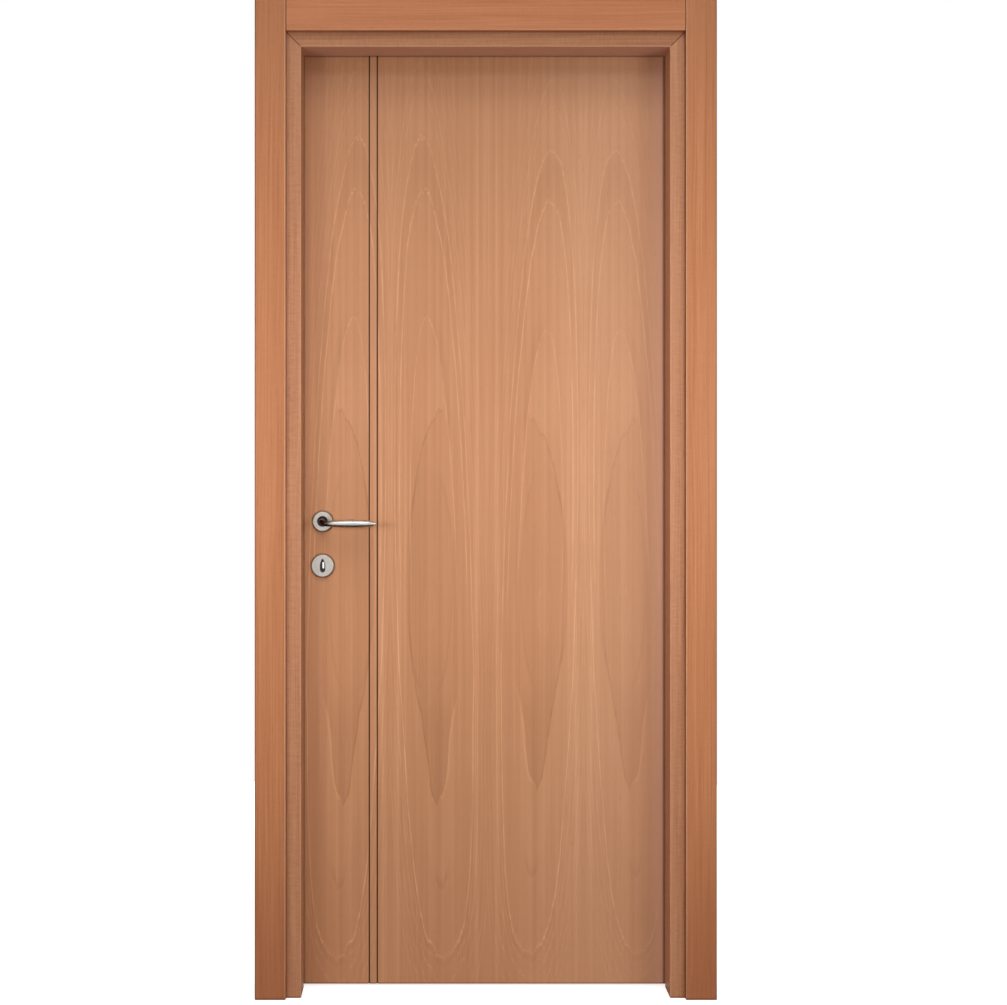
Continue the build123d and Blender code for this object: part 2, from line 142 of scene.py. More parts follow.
# Light growth lines, as (ring half-width, strength), above and below the oval
upper_lines = (
    (0.0520, 0.22), (0.0750, 0.30), (0.0850, 0.28), (0.0925, 0.08), (0.0965, 0.12),
    (0.1040, 0.08), (0.1115, 0.08), (0.1180, 0.07),
)
lower_lines = (
    (0.0850, 0.30), (0.0895, 0.12), (0.0950, 0.16), (0.1035, 0.12), (0.1115, 0.11),
    (0.1180, 0.10),
)
# Soft edges of the figure's smaller marks, as (start, full) or (start, full, fading, gone)
figures_meet = (0.78, 1.00)
line_edge = (0.0005, 0.0022)
band_rings = (0.0765, 0.0790, 0.0825, 0.0850)
band_cap = (0.020, 0.048)
flame_heights = (0.58, 0.70)
flame_tip = (0.405, 0.430)
oval_near_fade = (-0.0006, 0.0016)
oval_edge_width = (0.0, 0.0060)
tuft_rings = (0.0570, 0.0600, 0.0600, 0.0608)
tuft_cap = (0.010, 0.022)
rim_band = (-0.007, -0.001, -0.001, 0.0005)
wedge_ring = (0.0490, 0.0525)
wedge_side = (-0.0040, 0.0005)
wedge_heights = (1.20, 1.30, 1.35, 1.47)
shade_rings = (0.0505, 0.0530, 0.0560, 0.0640)
shade_side = (0.0, 0.012)
shade_heights = (1.20, 1.30, 1.42, 1.54)
# Where the leaf's veneer is lighter, along X, and where painted light brightens its right side and its
# hinge rim
light_strips = (-0.42, -0.28, -0.16, -0.09)
right_side_light_span = (-0.40, -0.10)
hinge_rim_light_span = (-0.090, -0.042)
# Edges of the marks on the leaf, from the passage, the furniture, the floor and the face: painted
# shadows at the seal gap, round the furniture and at the foot, and the stain in the routed lines
gap_shadow_narrow = (-0.0034, -0.0018)
gap_shadow_wide = (-0.0062, -0.0024)
gap_shadow_head = (-0.0022, -0.0010)
gap_shadow_end = (0.0015, 0.0035)
gap_shadow_depth = (leaf_front + 0.004, leaf_front + 0.006)
sides_meet = (passage_middle - 0.1, passage_middle + 0.1)
contact_shadow_edge = (0.0004, 0.0034)
leaf_foot_shade = (0.0065, 0.0095)
line_stain_depth = (0.0003, 0.0006)
# Painted shade at the feet of the casings and the lining, by height above the floor
foot_shade_band = (0.0015, 0.0050)
foot_shade_heights = (0.02, 0.45)

# Camera and studio
camera_place = (-0.570, -3.156, 1.150)
camera_lens = 50.3
camera_shift = (0.072, -0.0253)
floor_radius = 2.3
floor_drop = 0.0004
floor_glow = 0.74
floor_rim_glow = 0.30
floor_whitens = (0.7, floor_radius * 0.92)
surround_strength = 0.10
flag_side = 1.9
# Soft boxes: name, place from the passage's middle, height aimed at, size, spread, watts, shows in gloss
soft_boxes = (
    ("High_box", (0.0, -2.0, 4.1), 1.1, (2.6, 1.8), 0.68, 5.2, False),
    ("Far_box", (0.0, -3.16, 3.44), 1.2, (2.6, 1.6), 0.68, 3.3, True),
    ("Back_box", (0.0, 3.0, 2.1), 1.2, (2.4, 0.8), math.pi, 56.0, True),
    ("Front_box", (0.0, -3.6, 1.5), 1.25, (1.6, 0.8), 0.62, 1.35, False),
    ("Left_box", (-1.6, -1.75, 1.25), 1.25, (0.9, 0.54), math.pi, 12.8, True),
    ("Right_box", (1.6, -1.75, 1.25), 1.25, (0.9, 0.54), math.pi, 13.8, True),
)


def srgb(red, green, blue):
    """A colour given as 0-255 screen values, for a shader."""
    linear = []
    for value in (red, green, blue):
        share = value / 255
        linear.append(share / 12.92 if share <= 0.04045 else ((share + 0.055) / 1.055) ** 2.4)
    return (*linear, 1.0)


# Colours that mark the wood and the metal, and the painted light and shade on them
white = (1.0, 1.0, 1.0, 1.0)
rubbed_light = srgb(226, 172, 134)
pore_brown = srgb(112, 66, 40)
# Painted shade for creases, joints, the outer arris and the feet
painted_shade_brown = srgb(108, 50, 22)
# Painted shadow of the gaps at the seal and under the leaf
gap_shadow_brown = srgb(98, 42, 24)
line_stain = srgb(60, 25, 8)
# Painted contact shadow round the rosette and the escutcheon
contact_shadow_brown = srgb(84, 48, 30)
# Painted shade, darker towards the floor
foot_shade_brown = srgb(150, 82, 54)
# Painted light on the leaf's right side
right_side_painted_light = srgb(206, 158, 126)
# Painted light along the leaf's hinge rim
hinge_rim_painted_light = srgb(228, 174, 146)
# Painted light on the head's reveal
head_reveal_painted_light = srgb(210, 164, 146)
# Painted shade in the furniture's hollows and painted dark reflection on the lever's elbow
painted_dark_brown = srgb(48, 32, 24)
nickel = (srgb(177, 172, 165), srgb(201, 196, 189))


class Finish:
    """A node tree that mixes one finish. Each method adds a step and gives its result."""

    def __init__(self, tree):
        self.tree = tree

    def step(self, kind, inputs=None, **settings):
        node = self.tree.nodes.new(kind)
        for name, value in settings.items():
            setattr(node, name, value)
        for socket, value in (inputs or {}).items():
            self.feed(node.inputs[socket], value)
        return node

    def feed(self, socket, value):
        if isinstance(value, bpy.types.NodeSocket):
            self.tree.links.new(value, socket)
        else:
            socket.default_value = value

    def compute(self, operation, *values):
        return self.step("ShaderNodeMath", dict(enumerate(values)), operation=operation).outputs[0]

    def chain(self, operation, values):
        total = values[0]
        for value in values[1:]:
            total = self.compute(operation, total, value)
        return total

    def plus(self, *values):
        return self.chain("ADD", values)

    def times(self, *values):
        return self.chain("MULTIPLY", values)

    def most(self, *values):
        return self.chain("MAXIMUM", values)

    def less(self, value, taken):
        return self.compute("SUBTRACT", value, taken)

    def size(self, value):
        return self.compute("ABSOLUTE", value)

    def length(self, first, second):
        """Length of a slope with these two sides."""
        squares = self.plus(self.times(first, first), self.times(second, second))
        return self.compute("SQRT", squares)

    def rise(self, value, start, end):
        """Goes smoothly from 0 at start to 1 at end."""
        inputs = {"Value": value, "From Min": start, "From Max": end}
        node = self.step("ShaderNodeMapRange", inputs, interpolation_type="SMOOTHSTEP")
        return node.outputs["Result"]

    def fall(self, value, start, end):
        return self.less(1.0, self.rise(value, start, end))

    def between(self, value, start, full, fading, gone):
        """Goes smoothly from 0 at start to 1 at full, and from 1 at fading to 0 at gone."""
        return self.times(self.rise(value, start, full), self.fall(value, fading, gone))

    def split(self, position):
        return self.step("ShaderNodeSeparateXYZ", {0: position}).outputs

    def join(self, x, y, z):
        return self.step("ShaderNodeCombineXYZ", {"X": x, "Y": y, "Z": z}).outputs[0]

    def stretch(self, position, x, y, z):
        inputs = {0: position, 1: (x, y, z)}
        return self.step("ShaderNodeVectorMath", inputs, operation="MULTIPLY").outputs[0]

    def noise(self, position, detail=2.0, roughness=0.5):
        inputs = {"Vector": position, "Scale": 1.0, "Detail": detail, "Roughness": roughness}
        return self.step("ShaderNodeTexNoise", inputs).outputs["Fac"]

    def swing(self, noise, amount):
        """The noise as a push of up to half the amount to either side."""
        return self.times(self.less(noise, 0.5), amount)

    def tones(self, value, stops):
        """A grey or colour ramp from (place, tone) stops."""
        node = self.step("ShaderNodeValToRGB", {0: value})
        ramp = node.color_ramp
        while len(ramp.elements) < len(stops):
            ramp.elements.new(0.5)
        for element, (place, tone) in zip(ramp.elements, stops):
            element.position = place
            element.color = tone if isinstance(tone, tuple) else (tone, tone, tone, 1.0)
        return node.outputs["Color"]

    def curve(self, value, points, reach):
        """A smooth line through (height, distance) points, both given in metres."""
        share = self.times(value, 1 / figure_height)
        node = self.step("ShaderNodeFloatCurve", {"Value": share})
        line = node.mapping.curves[0]
        while len(line.points) < len(points):
            line.points.new(0.5, 0.5)
        for point, (height, distance) in zip(line.points, points):
            point.location = (height / figure_height, distance / reach)
        node.mapping.update()
        return self.times(node.outputs[0], reach)

    def blend(self, share, below, above):
        node = self.step("ShaderNodeMix", data_type="RGBA", blend_type="MIX")
        self.feed(node.inputs[0], share)
        self.feed(node.inputs[6], below)
        self.feed(node.inputs[7], above)
        return node.outputs[2]

    def tint(self, colour, mask, share, tint):
        """The colour, turned towards the tint by this share where the mask is 1."""
        return self.blend(self.times(mask, share), colour, tint)

    def use(self, effect, **inputs):
        """Places a shared effect and gives its outputs."""
        node = self.step("ShaderNodeGroup", node_tree=effect)
        for name, value in inputs.items():
            self.feed(node.inputs[name.replace("_", " ").capitalize()], value)
        return node.outputs

    def relief(self, height, depth, strength):
        inputs = {"Height": height, "Distance": depth, "Strength": strength}
        return self.step("ShaderNodeBump", inputs).outputs["Normal"]

    def seen(self):
        """1 for what the camera sees, straight, in a reflection or through glass."""
        rays = self.step("ShaderNodeLightPath").outputs
        return self.most(rays["Is Camera Ray"], rays["Is Glossy Ray"], rays["Is Transmission Ray"])


def new_effect(name, inputs, outputs):
    """An empty shared effect: its finish, what goes in and the node that takes what comes out."""
    tree = bpy.data.node_groups.new(name, "ShaderNodeTree")
    for socket, kind in inputs:
        tree.interface.new_socket(socket, in_out="INPUT", socket_type=kind)
    for socket in outputs:
        tree.interface.new_socket(socket, in_out="OUTPUT", socket_type="NodeSocketFloat")
    finish = Finish(tree)
    return finish, finish.step("NodeGroupInput").outputs, finish.step("NodeGroupOutput").inputs


def make_wood_fibre():
    """Fine streaks and short open pores; the grain runs along Z."""
    finish, given, result = new_effect(
        "Wood fibre", [("Position", "NodeSocketVector")], ["Streak", "Pores", "Height"]
    )
    position = given["Position"]
    broad = finish.noise(finish.stretch(position, 130, 130, 1.6), 3.0, 0.55)
    fine = finish.noise(finish.stretch(position, 900, 900, 9), 3.0, 0.6)
    streak = finish.plus(finish.times(broad, 0.6), finish.times(fine, 0.4))
    pore_noise = finish.noise(finish.stretch(position, 1700, 1700, 36), 1.0, 0.5)
    pores = finish.rise(pore_noise, 0.63, 0.72)
    height = finish.less(finish.times(fine, 0.5), finish.times(pores, 0.8))
    finish.feed(result["Streak"], streak)
    finish.feed(result["Pores"], pores)
    finish.feed(result["Height"], height)
    return finish.tree


def make_straight_figure():
    """Quarter-cut wood: straight growth lines along Z and a silky ripple across them."""
    finish, given, result = new_effect(
        "Straight figure",
        [("Position", "NodeSocketVector"), ("Line pitch", "NodeSocketFloat")],
        ["Tone", "Ripple"],
    )
    position = given["Position"]
    lean = finish.swing(finish.noise(finish.stretch(position, 3, 3, 0.7)), 0.03)
    x, y, z = finish.split(position)
    bent = finish.join(finish.plus(x, lean), finish.plus(y, lean), z)
    per_metre = finish.compute("DIVIDE", 1.0, given["Line pitch"])
    growth = finish.step(
        "ShaderNodeVectorMath", {0: finish.stretch(bent, 1, 1, 0.012), 3: per_metre},
        operation="SCALE",
    ).outputs[0]
    lines = finish.noise(growth, 2.0, 0.6)
    bands = finish.noise(finish.stretch(bent, 34, 34, 0.5), 1.0, 0.5)
    tone = finish.plus(finish.times(lines, 0.62), finish.times(bands, 0.38))
    ripple = finish.noise(finish.stretch(bent, 60, 60, 210), 2.0, 0.55)
    finish.feed(result["Tone"], tone)
    finish.feed(result["Ripple"], ripple)
    return finish.tree


def make_crown_figure():
    """Mirror-matched crown-cut veneer: nested peaks, a dark oval at mid-height, a flame below."""
    finish, given, result = new_effect(
        "Crown figure", [("Position", "NodeSocketVector")], ["Tone"]
    )
    x, _, z = finish.split(given["Position"])
    second_pair = finish.rise(x, middle_joint - joint_half, middle_joint + joint_half)
    straight = finish.compute("PINGPONG", finish.less(x, first_joint), strip_width)

    def strip_noise(across_scale, along_scale, roughness):
        """Noise that is mirrored from strip to strip."""
        place = finish.join(
            finish.times(straight, across_scale), second_pair, finish.times(z, along_scale)
        )
        return finish.noise(place, 2.0, roughness)

    wander = strip_noise(14, 3.2, 0.5)
    across = finish.plus(straight, finish.swing(wander, 0.006))
    height = finish.plus(
        z,
        finish.swing(strip_noise(110, 2.0, 0.7), 0.050),
        finish.swing(strip_noise(330, 2.0, 0.7), 0.020),
    )

    # Rings nested about the heart of the strip
    heart = finish.plus(
        heart_at_top, finish.times(finish.less(heart_top, height), heart_lean)
    )
    off_heart = finish.less(across, heart)
    aside = finish.size(off_heart)
    spread = finish.curve(height, ring_spread, ring_range)
    ring = finish.plus(finish.length(off_heart, spread), finish.times(second_pair, pair_step))
    ring_share = finish.times(ring, 1 / ring_range)
    above = finish.rise(z, *figures_meet)
    upper = finish.tones(ring_share, [(r / ring_range, tone) for r, tone in upper_fill])
    lower = finish.tones(ring_share, [(r / ring_range, tone) for r, tone in lower_fill])
    rings = finish.blend(above, lower, upper)

    # Light lines between the rings, as wide at the peaks as on the flanks
    slope = finish.plus(lower_slope, finish.times(above, upper_slope - lower_slope))
    steepness = finish.length(off_heart, finish.times(spread, slope))
    widen = finish.compute("DIVIDE", ring, finish.most(steepness, 0.001))

    def line_set(lines):
        total = 0.0
        for line_ring, strength in lines:
            off_line = finish.size(finish.less(ring, line_ring))
            mark = finish.fall(finish.times(off_line, widen), *line_edge)
            total = finish.plus(total, finish.times(mark, strength))
        return total

    patchy = finish.rise(strip_noise(40, 11, 0.6), 0.35, 0.62)
    lines = finish.blend(above, line_set(lower_lines), line_set(upper_lines))
    lines = finish.times(lines, finish.plus(0.45, finish.times(patchy, 0.65)))
    band_dark = finish.times(
        finish.between(ring, *band_rings),
        finish.fall(aside, *band_cap),
        above,
        finish.plus(0.02, finish.times(second_pair, 0.03)),
    )

    # The oval and its flame: a crisp dark edge near the joint, a soft one on the far side
    from_middle = finish.less(height, oval_middle)
    shrink = finish.plus(1.0, finish.times(second_pair, oval_shrink))
    oval_height = finish.plus(oval_middle, finish.times(from_middle, shrink))
    into_near = finish.less(across, finish.curve(oval_height, oval_near_edge, strip_width))
    into_far = finish.less(finish.curve(oval_height, oval_far_edge, strip_width), across)
    flame = finish.fall(oval_height, *flame_heights)
    far_softness = finish.plus(0.0020, finish.times(finish.less(1.0, flame), 0.020))
    far_share = finish.compute("DIVIDE", into_far, far_softness)
    inside = finish.times(finish.rise(into_near, *oval_near_fade), finish.rise(far_share, -0.1, 1.0))
    edge_dark = finish.times(inside, finish.fall(into_near, *oval_edge_width), 0.19)
    body_dark = finish.times(inside, finish.plus(0.025, finish.times(flame, 0.115)))

    # Two nested eyes within the oval, outlined dark and light
    def eye(middle, half_width, half_height, line_width, unevenness):
        """Inside of an eye, and a line along its outline."""
        out_across = finish.times(finish.less(across, heart_at_eye), 1 / half_width)
        out_along = finish.times(finish.less(height, middle), 1 / half_height)
        out = finish.plus(
            finish.times(out_across, out_across),
            finish.times(out_along, out_along),
            finish.swing(wander, unevenness),
        )
        outline = finish.times(
            finish.between(out, 1.0 - line_width, 1.0, 1.0, 1.0 + line_width),
            finish.rise(finish.size(out_across), 0.25, 0.70),
        )
        return finish.fall(out, 0.95, 1.05), outline

    large_eye, large_outline = eye(
        middle=0.912, half_width=0.052, half_height=0.265, line_width=0.13, unevenness=0.30
    )
    small_eye, small_outline = eye(
        middle=0.850, half_width=0.013, half_height=0.055, line_width=0.50, unevenness=1.60
    )
    core_dark = finish.plus(finish.times(large_eye, 0.03), finish.times(large_outline, 0.10))
    core_light = finish.plus(finish.times(small_eye, 0.015), finish.times(small_outline, 0.06))
    tuft = finish.times(
        finish.between(ring, *tuft_rings), finish.fall(aside, *tuft_cap), finish.less(1.0, above), 0.13
    )
    light_rim = finish.times(
        finish.between(into_far, *rim_band), finish.rise(oval_height, *flame_tip), flame, 0.17
    )
    light_wedge = finish.times(
        finish.fall(ring, *wedge_ring),
        finish.fall(into_near, *wedge_side),
        finish.between(z, *wedge_heights),
        0.07,
    )
    far_shade = finish.times(
        finish.between(ring, *shade_rings),
        finish.rise(off_heart, *shade_side),
        finish.between(z, *shade_heights),
        0.11,
    )
    tone = finish.plus(rings, lines, light_rim, light_wedge, core_light)
    tone = finish.less(tone, finish.plus(band_dark, edge_dark, body_dark, core_dark, far_shade, tuft))

    # Soft streaks that follow the strips, lightest towards the joints
    streaks = finish.noise(finish.join(finish.times(straight, 95), 0.0, finish.times(z, 0.55)), 3.0, 0.6)
    clouds = finish.noise(finish.join(finish.times(x, 7), 0.0, finish.times(z, 2.2)), 2.0, 0.5)
    joint = finish.plus(
        finish.fall(straight, 0.010, 0.055), finish.rise(straight, strip_width - 0.050, strip_width)
    )
    glow = finish.times(joint, finish.rise(streaks, 0.46, 0.64), 0.07)
    tone = finish.plus(tone, finish.swing(streaks, 0.46), finish.swing(clouds, 0.20), glow)
    finish.feed(result["Tone"], tone)
    return finish.tree


def make_satin_scuff():
    """Even satin blasting on metal, with faint rubbed marks."""
    finish, given, result = new_effect(
        "Satin scuff",
        [("Position", "NodeSocketVector"), ("Base roughness", "NodeSocketFloat")],
        ["Tint", "Roughness", "Height"],
    )
    position = given["Position"]
    blast = finish.noise(finish.stretch(position, 4200, 4200, 4200), 2.0, 0.6)
    rubbed = finish.noise(finish.stretch(position, 70, 70, 70), 3.0, 0.6)
    marks = finish.rise(finish.noise(finish.stretch(position, 260, 1500, 700), 2.0, 0.5), 0.62, 0.74)
    tint = finish.plus(finish.times(rubbed, 0.7), finish.times(blast, 0.3))
    rough = finish.plus(
        given["Base roughness"], finish.swing(rubbed, 0.08), finish.times(marks, -0.03)
    )
    finish.feed(result["Tint"], tint)
    finish.feed(result["Roughness"], rough)
    finish.feed(result["Height"], finish.plus(blast, finish.times(marks, -0.5)))
    return finish.tree


def make_worn_arris():
    """A band along an edge, between two depths, where the finish is rubbed lighter."""
    finish, given, result = new_effect(
        "Worn arris",
        [
            ("Position", "NodeSocketVector"),
            ("Depth", "NodeSocketFloat"),
            ("Low", "NodeSocketFloat"),
            ("High", "NodeSocketFloat"),
        ],
        ["Wear"],
    )
    ease = 0.0006
    low = given["Low"]
    high = given["High"]
    band = finish.between(given["Depth"], finish.less(low, ease), low, finish.less(high, ease), high)
    patchy = finish.noise(finish.stretch(given["Position"], 30, 30, 30), 3.0, 0.6)
    finish.feed(result["Wear"], finish.times(band, finish.rise(patchy, 0.25, 0.60)))
    return finish.tree


wood_fibre = make_wood_fibre()
straight_figure = make_straight_figure()
crown_figure = make_crown_figure()
satin_scuff = make_satin_scuff()
worn_arris = make_worn_arris()


def new_material(name):
    """A material with its shader, the piece's own coordinates and its finish."""
    material = bpy.data.materials.new(name)
    material.use_nodes = True
    material.node_tree.nodes.clear()
    finish = Finish(material.node_tree)
    shader = finish.step("ShaderNodeBsdfPrincipled")
    output = finish.step("ShaderNodeOutputMaterial")
    finish.feed(output.inputs["Surface"], shader.outputs["BSDF"])
    position = finish.step("ShaderNodeTexCoord").outputs["Object"]
    return material, finish, shader.inputs, position


def along_grain(finish, position, upright):
    """Coordinates with the grain along Z, for a piece that stands or one that lies across."""
    if upright:
        return position
    x, y, z = finish.split(position)
    return finish.join(z, y, x)


def from_axis(finish, x, z, height):
    """Distance from the axis of the furniture at this height."""
    return finish.length(finish.less(x, furniture_x), finish.less(z, height))


def from_passage(finish, x, z):
    """Distances out from the passage: beside it and above it."""
    beside = finish.less(finish.size(finish.less(x, passage_middle)), passage_half)
    return beside, finish.less(z, passage_top)


def lacquer(finish, shader, colour, fibre, roughness):
    """Satin lacquer over wood: colour, fibre in the gloss and a shallow relief of the grain."""
    pores = fibre["Pores"]
    finish.feed(shader["Base Color"], finish.tint(colour, pores, 0.20, pore_brown))
    uneven = finish.plus(finish.swing(fibre["Streak"], 0.10), finish.times(pores, 0.10))
    finish.feed(shader["Roughness"], finish.plus(roughness, uneven))
    finish.feed(shader["Normal"], finish.relief(fibre["Height"], 0.00025, 0.35))
    shader["Specular IOR Level"].default_value = 0.20


def painted_gap_shadow(finish, x, y, z):
    """Painted shadow line of the gap at the seal, on the leaf: narrow on the lock side, wide on the
    hinge side.
    """
    beside, above = from_passage(finish, x, z)
    hinge_side = finish.rise(x, *sides_meet)
    lock_side = finish.less(1.0, hinge_side)
    narrow = finish.times(finish.rise(beside, *gap_shadow_narrow), lock_side, 0.60)
    wide = finish.times(finish.rise(beside, *gap_shadow_wide), hinge_side)
    head = finish.times(finish.rise(above, *gap_shadow_head), 0.70)
    return finish.times(
        finish.most(finish.plus(narrow, wide), head),
        finish.fall(finish.most(beside, above), *gap_shadow_end),
        finish.fall(y, *gap_shadow_depth),
    )


def routed_lines(finish, x, y):
    """The two routed lines, on both faces, below the surface of the veneer."""
    line_middle = sum(line_places) / 2
    line_spacing = (line_places[1] - line_places[0]) / 2
    from_pair = finish.size(finish.less(x, line_middle))
    from_line = finish.size(finish.less(from_pair, line_spacing))
    depth = finish.compute("MINIMUM", finish.less(y, leaf_front), finish.less(leaf_back, y))
    return finish.times(
        finish.fall(from_line, line_half - line_ease, line_half),
        finish.rise(depth, *line_stain_depth),
    )


def painted_contact_shadows(finish, x, z):
    """Painted contact shadows: dark rings round the rosette and the escutcheon."""
    rings = []
    for height, radius in ((handle_height, rosette_radius), (key_height, escutcheon_radius)):
        away = from_axis(finish, x, z, height)
        rings.append(finish.fall(finish.less(away, radius), *contact_shadow_edge))
    return finish.most(*rings)


def make_leaf_veneer():
    """Faces of the leaf: crown figure, with the routed lines stained dark, painted light on the right
    side and the hinge rim, and painted shadows at the seal gap, round the furniture and at the foot.
    """
    material, finish, shader, position = new_material("Leaf_crown_veneer")
    x, y, z = finish.split(position)
    figure = finish.use(crown_figure, position=position)
    fibre = finish.use(wood_fibre, position=position)
    lighter = finish.times(finish.between(x, *light_strips), 0.10)
    tone = finish.plus(figure["Tone"], finish.swing(fibre["Streak"], 0.30), lighter)
    colour = finish.tones(
        tone,
        [
            (0.00, srgb(168, 114, 81)),
            (0.30, srgb(185, 129, 92)),
            (0.50, srgb(199, 141, 102)),
            (0.75, srgb(213, 156, 116)),
            (1.00, rubbed_light),
        ],
    )
    # Painted light: the right side paler and cooler
    colour = finish.tint(colour, finish.rise(x, *right_side_light_span), 0.30, right_side_painted_light)
    # Painted light: the hinge rim lighter
    colour = finish.tint(colour, finish.rise(x, *hinge_rim_light_span), 0.70, hinge_rim_painted_light)
    # Painted contact shadows round the furniture
    colour = finish.tint(colour, painted_contact_shadows(finish, x, z), 0.62, contact_shadow_brown)
    # Painted shadow of the seal gap
    colour = finish.tint(colour, painted_gap_shadow(finish, x, y, z), 0.68, gap_shadow_brown)
    # Painted shade at the leaf's foot
    colour = finish.tint(colour, finish.fall(z, *leaf_foot_shade), 0.55, gap_shadow_brown)
    colour = finish.tint(colour, routed_lines(finish, x, y), 0.94, line_stain)
    lacquer(finish, shader, colour, fibre, 0.42)
    return material


def straight_wood(name, stops, upright, line_pitch, ripple, worn_depths=None):
    """Straight-grained wood; its worn edges lie between these depths, measured from mid-wall."""
    material, finish, shader, position = new_material(name)
    grain = along_grain(finish, position, upright)
    figure = finish.use(straight_figure, position=grain, line_pitch=line_pitch)
    fibre = finish.use(wood_fibre, position=grain)
    tone = finish.plus(
        figure["Tone"], finish.swing(fibre["Streak"], 0.30), finish.swing(figure["Ripple"], ripple)
    )
    colour = finish.tones(tone, stops)
    if worn_depths:
        low, high = worn_depths
        _, y, _ = finish.split(position)
        worn = finish.use(worn_arris, position=position, depth=finish.size(y), low=low, high=high)
        colour = finish.tint(colour, worn["Wear"], 0.80, rubbed_light)
    return material, finish, shader, position, colour, fibre


def make_casing_veneer(upright):
    """Casings: warm straight grain, rubbed light along their arrises, with painted shade in the crease,
    at the butt joints, along the outer arris and towards the foot.
    """
    redder = 0 if upright else 10
    lift = 0 if upright else 4
    stops = [
        (0.25, srgb(178 + redder, 110 + lift, 71 + lift)),
        (0.45, srgb(193 + redder, 125 + lift, 83 + lift)),
        (0.58, srgb(200 + redder, 132 + lift, 90 + lift)),
        (0.78, srgb(213 + redder, 146 + lift, 103 + lift)),
    ]
    material, finish, shader, position, colour, fibre = straight_wood(
        "Casing_veneer_upright" if upright else "Casing_veneer_head",
        stops,
        upright,
        line_pitch=0.0042,
        ripple=0.10,
        worn_depths=(casing_face - casing_arris, casing_face - arris_ease),
    )
    x, y, z = finish.split(position)
    beside, above = from_passage(finish, x, z)
    depth = finish.size(y)
    out = beside if upright else above
    rubbed = finish.times(
        finish.fall(out, casing_inner + 0.0014, casing_inner + 0.0030),
        finish.rise(depth, casing_face - 0.0030, casing_face - 0.0015),
    )
    colour = finish.tint(colour, rubbed, 0.80 if upright else 0.40, rubbed_light)
    # Painted shadow line at the head casing's butt joints
    if not upright:
        butt = finish.rise(beside, casing_inner - 0.0028, casing_inner - 0.0012)
        colour = finish.tint(colour, butt, 0.92, painted_shade_brown)
    # Painted shade in the crease against the lining
    crease = finish.times(
        finish.fall(out, casing_inner + 0.0002, casing_inner + 0.0010),
        finish.fall(depth, casing_face - 0.0035, casing_face - 0.0015),
    )
    # Painted shade along the outer arris and along the foot
    outer = finish.most(
        finish.rise(beside, casing_outer - 0.0034, casing_outer - 0.0014),
        finish.fall(z, *foot_shade_band),
    )
    # Painted shade: darker towards the floor
    colour = finish.tint(colour, finish.fall(z, *foot_shade_heights), 0.35, foot_shade_brown)
    colour = finish.tint(colour, crease, 0.45 if upright else 0.40, painted_shade_brown)
    colour = finish.tint(colour, outer, 0.65, painted_shade_brown)
    lacquer(finish, shader, colour, fibre, 0.40)
    return material


def make_lining_veneer(upright):
    """Lining: paler, with a silky ripple, worn at the arris; painted shade in the mitre, the crease and
    the foot, painted light on the head's reveal, and a lighter upright and a darker head copy of its
    colours as painted light and shade.
    """
    # Painted light and shade: the upright a lighter and the head a darker copy of the same colours
    lift = 7 if upright else -3
    stops = [
        (0.25, srgb(166 + lift, 108 + lift, 75 + lift)),
        (0.45, srgb(183 + lift, 124 + lift, 89 + lift)),
        (0.58, srgb(190 + lift, 132 + lift, 96 + lift)),
        (0.78, srgb(204 + lift, 147 + lift, 110 + lift)),
    ]
    material, finish, shader, position, colour, fibre = straight_wood(
        "Lining_veneer_upright" if upright else "Lining_veneer_head",
        stops,
        upright,
        line_pitch=0.0030,
        ripple=0.34,
        worn_depths=(lining_face - lining_arris, lining_face - arris_ease),
    )
    x, y, z = finish.split(position)
    beside, above = from_passage(finish, x, z)
    out = finish.most(beside, above)
    on_face = finish.rise(finish.size(y), lining_face - 0.0025, lining_face - 0.0010)
    # Painted light on the head's reveal, where it faces down
    if not upright:
        colour = finish.tint(colour, finish.fall(out, 0.0002, 0.0012), 0.50, head_reveal_painted_light)
    rubbed = finish.times(finish.fall(out, 0.0016, 0.0034), on_face)
    colour = finish.tint(colour, rubbed, 0.42, rubbed_light)
    # Painted shade: dark lines in the mitre and in the crease by the casing, and darker at the foot
    from_mitre = finish.size(finish.less(beside, above))
    mitre = finish.times(finish.fall(from_mitre, 0.0009, 0.0021), finish.rise(out, 0.0005, 0.003))
    crease = finish.times(finish.rise(out, casing_inner - 0.0018, casing_inner - 0.0008), on_face)
    foot = finish.fall(z, *foot_shade_band)
    dark = finish.most(finish.times(mitre, 0.92), finish.times(crease, 0.46), finish.times(foot, 0.55))
    colour = finish.blend(dark, colour, painted_shade_brown)
    lacquer(finish, shader, colour, fibre, 0.44)
    return material


def make_leaf_edge(upright):
    """Lipped edges of the leaf, in solid wood."""
    stops = [
        (0.25, srgb(174, 118, 84)),
        (0.50, srgb(196, 139, 102)),
        (0.78, srgb(214, 158, 120)),
    ]
    name = "Leaf_edge_upright" if upright else "Leaf_edge_across"
    material, finish, shader, _, colour, fibre = straight_wood(
        name, stops, upright, line_pitch=0.0036, ripple=0.14
    )
    lacquer(finish, shader, colour, fibre, 0.46)
    return material


